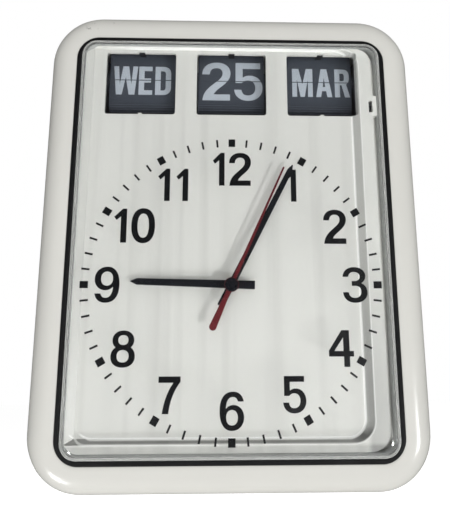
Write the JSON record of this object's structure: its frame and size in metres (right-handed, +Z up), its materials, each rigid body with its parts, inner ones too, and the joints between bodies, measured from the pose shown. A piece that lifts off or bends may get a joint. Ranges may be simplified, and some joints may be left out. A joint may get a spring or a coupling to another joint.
{
  "type": "calendar clock",
  "caption": "Battery wall clock in a rounded upright case with split-flap day, date and month windows above a dial with hour, minute and second hands.",
  "frame": {"origin": "On the wall plane, at the middle of the case's width and height.", "axes": "+Z is up, +X is to the right as seen from the front, and the dial faces -Y. The wall lies at y = 0."},
  "size_m": [0.3226, 0.088, 0.402],
  "materials": {
    "case_plastic": "fine matt, warm white",
    "tray_plastic": "satin, warm white",
    "seal_rubber": "dull black",
    "clear_plastic": "clear, polished",
    "black_plastic": "satin black",
    "steel": "zinc plated",
    "brass": "turned",
    "movement_plastic": "fine grain",
    "hand_black": "satin black",
    "hand_red": "satin dark red",
    "flap_film": "matt dark grey",
    "gear_plastic": "moulded natural white",
    "cell_jacket": "plain blue sleeve"
  },
  "bodies": {
    "case": {"front_case": "case_plastic", "rear_cover": "case_plastic", "crystal_gasket": "seal_rubber", "crystal": "clear_plastic", "dial_tray": "tray_plastic", "crystal_catch": "black_plastic", "tray_screws": "steel", "cover_screws": "steel", "hanger_plate": "steel", "hanger_screws": "steel", "movement_housing": "movement_plastic", "movement_washer": "steel", "movement_nut": "brass", "unit_screws": "steel", "battery_cells": "cell_jacket", "contact_springs": "steel", "contact_plates": "steel", "day_frame": "black_plastic", "day_flap_pack": "flap_film", "day_lower_flap": "flap_film", "day_clip": "black_plastic", "date_frame": "black_plastic", "date_flap_pack": "flap_film", "date_lower_flap": "flap_film", "date_clip": "black_plastic", "month_frame": "black_plastic", "month_flap_pack": "flap_film", "month_lower_flap": "flap_film", "month_clip": "black_plastic"},
    "hour": {"hour_tube": "gear_plastic", "hour_hand": "hand_black"},
    "minute": {"minute_arbor": "brass", "minute_hand": "hand_black"},
    "second": {"second_arbor": "steel", "second_hand": "hand_red"},
    "knob": {"time_knob": "movement_plastic"},
    "cam": {"midnight_cam": "gear_plastic"},
    "bar": {"push_bar": "steel"},
    "battery_door": {"battery_cover": "case_plastic"},
    "day_drum_set": {"day_drum": "gear_plastic"},
    "day_wheel": {"day_set_wheel": "gear_plastic"},
    "day_flap": {"day_upper_flap": "flap_film"},
    "date_drum_set": {"date_drum": "gear_plastic"},
    "date_wheel": {"date_set_wheel": "gear_plastic"},
    "date_flap": {"date_upper_flap": "flap_film"},
    "month_drum_set": {"month_drum": "gear_plastic"},
    "month_wheel": {"month_set_wheel": "gear_plastic"},
    "month_flap": {"month_upper_flap": "flap_film"}
  },
  "joints": [
    {"name": "minute_spin", "type": "hinge", "parent": "case", "child": "minute", "pos_m": [0, 0, -0.0395], "axis": [0, 1, 0], "continuous": true},
    {"name": "hour_spin", "type": "hinge", "parent": "case", "child": "hour", "pos_m": [0, 0, -0.0395], "axis": [0, 1, 0], "continuous": true},
    {"name": "second_spin", "type": "hinge", "parent": "case", "child": "second", "pos_m": [0, 0, -0.0395], "axis": [0, 1, 0], "continuous": true},
    {"name": "knob_turn", "type": "hinge", "parent": "case", "child": "knob", "pos_m": [0.012, 0, -0.0375], "axis": [0, 1, 0], "continuous": true},
    {"name": "cam_spin", "type": "hinge", "parent": "case", "child": "cam", "pos_m": [-0.014, -0.051, -0.0245], "axis": [0, 1, 0], "continuous": true},
    {"name": "bar_lift", "type": "slide", "parent": "case", "child": "bar", "axis": [0, 0, 1], "range_m": [0, 0.004]},
    {"name": "battery_door_lift", "type": "slide", "parent": "case", "child": "battery_door", "axis": [0, 1, 0], "range_m": [0, 0.03]},
    {"name": "day_drum_spin", "type": "hinge", "parent": "case", "child": "day_drum_set", "pos_m": [-0.0795, -0.0505, 0.141], "axis": [1, 0, 0], "continuous": true},
    {"name": "day_wheel_spin", "type": "hinge", "parent": "case", "child": "day_wheel", "pos_m": [-0.0795, -0.0265, 0.141], "axis": [1, 0, 0], "continuous": true},
    {"name": "day_flap_fall", "type": "hinge", "parent": "case", "child": "day_flap", "pos_m": [-0.0795, -0.0615, 0.141], "axis": [1, 0, 0], "range_deg": [0, 180]},
    {"name": "date_drum_spin", "type": "hinge", "parent": "case", "child": "date_drum_set", "pos_m": [0, -0.0505, 0.141], "axis": [1, 0, 0], "continuous": true},
    {"name": "date_wheel_spin", "type": "hinge", "parent": "case", "child": "date_wheel", "pos_m": [0, -0.0265, 0.141], "axis": [1, 0, 0], "continuous": true},
    {"name": "date_flap_fall", "type": "hinge", "parent": "case", "child": "date_flap", "pos_m": [0, -0.0615, 0.141], "axis": [1, 0, 0], "range_deg": [0, 180]},
    {"name": "month_drum_spin", "type": "hinge", "parent": "case", "child": "month_drum_set", "pos_m": [0.0795, -0.0505, 0.141], "axis": [1, 0, 0], "continuous": true},
    {"name": "month_wheel_spin", "type": "hinge", "parent": "case", "child": "month_wheel", "pos_m": [0.0795, -0.0265, 0.141], "axis": [1, 0, 0], "continuous": true},
    {"name": "month_flap_fall", "type": "hinge", "parent": "case", "child": "month_flap", "pos_m": [0.0795, -0.0615, 0.141], "axis": [1, 0, 0], "range_deg": [0, 180]}
  ],
  "couplings": [
    {"joint": "hour_spin", "follows": "minute_spin", "ratio": 0.083333},
    {"joint": "knob_turn", "follows": "minute_spin", "ratio": -0.33333},
    {"joint": "cam_spin", "follows": "minute_spin", "ratio": -0.041667},
    {"joint": "day_wheel_spin", "follows": "day_drum_spin", "ratio": -2},
    {"joint": "date_wheel_spin", "follows": "date_drum_spin", "ratio": -2},
    {"joint": "month_wheel_spin", "follows": "month_drum_spin", "ratio": -2}
  ]
}
